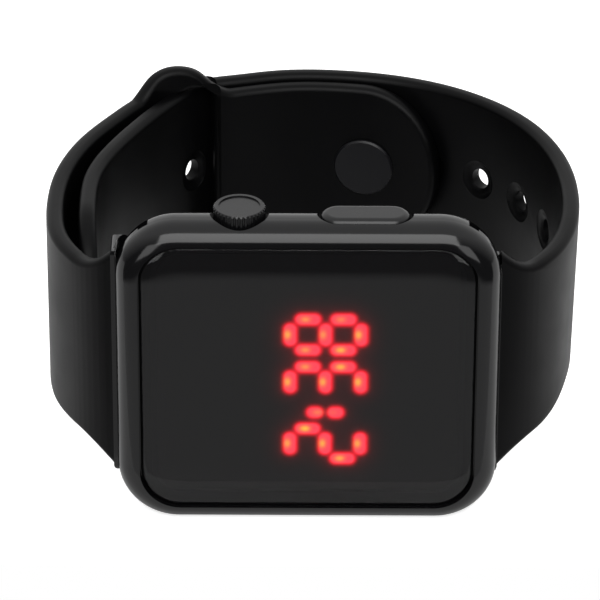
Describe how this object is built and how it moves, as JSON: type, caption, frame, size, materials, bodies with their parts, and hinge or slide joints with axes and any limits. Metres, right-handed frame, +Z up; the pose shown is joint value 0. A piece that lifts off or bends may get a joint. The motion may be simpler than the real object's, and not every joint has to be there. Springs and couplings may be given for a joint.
{
  "type": "digital wristwatch",
  "caption": "Square digital watch with a lit segment display, push crown, side button and a soft strap closed into a loop, standing on its side.",
  "frame": {"origin": "middle of the flat land on the case's 9 o'clock side, on which the watch stands", "axes": "+X from 12 o'clock to 6 o'clock, -Y out of the face, +Z up to the 3 o'clock side with the crown"},
  "size_m": [0.0623, 0.0585, 0.0393],
  "materials": {
    "case_black": "moulded, high gloss",
    "window_smoke": "smoked, polished, convex edge",
    "filter_red": "clear red film",
    "mask_black": "matt",
    "lit_red": "frosted light guides, lit",
    "unlit_red": "frosted light guides, dark",
    "chip_cream": "moulded",
    "board_green": "lacquered laminate",
    "resin_black": "cured resin drop",
    "capacitor_tan": "ceramic with tinned ends",
    "resistor_black": "ceramic with tinned ends",
    "bright_steel": "polished stainless steel",
    "back_steel": "brushed stainless steel",
    "spring_steel": "drawn wire",
    "contact_gold": "gold flash",
    "switch_plastic": "moulded",
    "holder_plastic": "moulded",
    "tape_black": "double-sided tape",
    "film_clear": "clear insulating film",
    "seal_rubber": "moulded nitrile",
    "strap_silicone": "matt, silky",
    "stud_black": "smooth"
  },
  "bodies": {
    "case": {"case_shell": "case_black", "window": "window_smoke", "window_tape": "tape_black", "display_filter": "filter_red", "segment_mask": "mask_black", "lit_segments": "lit_red", "unlit_segments": "unlit_red", "led_chips": "chip_cream", "main_board": "board_green", "controller_chip": "resin_black", "quartz_crystal": "bright_steel", "capacitors": "capacitor_tan", "resistors": "resistor_black", "battery": "bright_steel", "battery_holder": "holder_plastic", "battery_contact_plus": "contact_gold", "battery_contact_minus": "contact_gold", "battery_film": "film_clear", "back_gasket": "seal_rubber", "back_cover": "back_steel", "back_screws": "bright_steel", "crown_switch": "switch_plastic", "side_switch": "switch_plastic", "crown_spring": "spring_steel", "side_button_spring": "spring_steel", "crown_seal": "seal_rubber", "side_button_seal": "seal_rubber"},
    "crown_plunger": {"crown_switch_plunger": "switch_plastic"},
    "crown": {"crown_cap": "case_black", "crown_stem": "bright_steel", "crown_clip": "bright_steel"},
    "side_button": {"side_button": "case_black", "side_button_stem": "bright_steel", "side_button_clip": "bright_steel", "side_switch_plunger": "switch_plastic"},
    "strap_loop": {"strap_adapter_12": "case_black", "strap_adapter_6": "case_black", "pin_strap": "strap_silicone", "hole_strap": "strap_silicone", "stud_base": "stud_black", "stud_head": "stud_black"}
  },
  "joints": [
    {"name": "crown_push", "type": "slide", "parent": "case", "child": "crown_plunger", "axis": [0, 0, -1], "range_m": [0, 0.0006], "stiffness_N_per_m": 1500, "springref_m": -0.0006, "deforming": ["crown_spring"]},
    {"name": "crown_spin", "type": "hinge", "parent": "crown_plunger", "child": "crown", "pos_m": [-0.00775, 0.0014, 0], "axis": [0, 0, 1], "continuous": true},
    {"name": "side_button_push", "type": "slide", "parent": "case", "child": "side_button", "axis": [0, 0, -1], "range_m": [0, 0.0005], "stiffness_N_per_m": 1500, "springref_m": -0.0006, "deforming": ["side_button_spring"]},
    {"name": "strap_slide", "type": "slide", "parent": "case", "child": "strap_loop", "axis": [0, 0, 1], "range_m": [0, 0.031]}
  ]
}
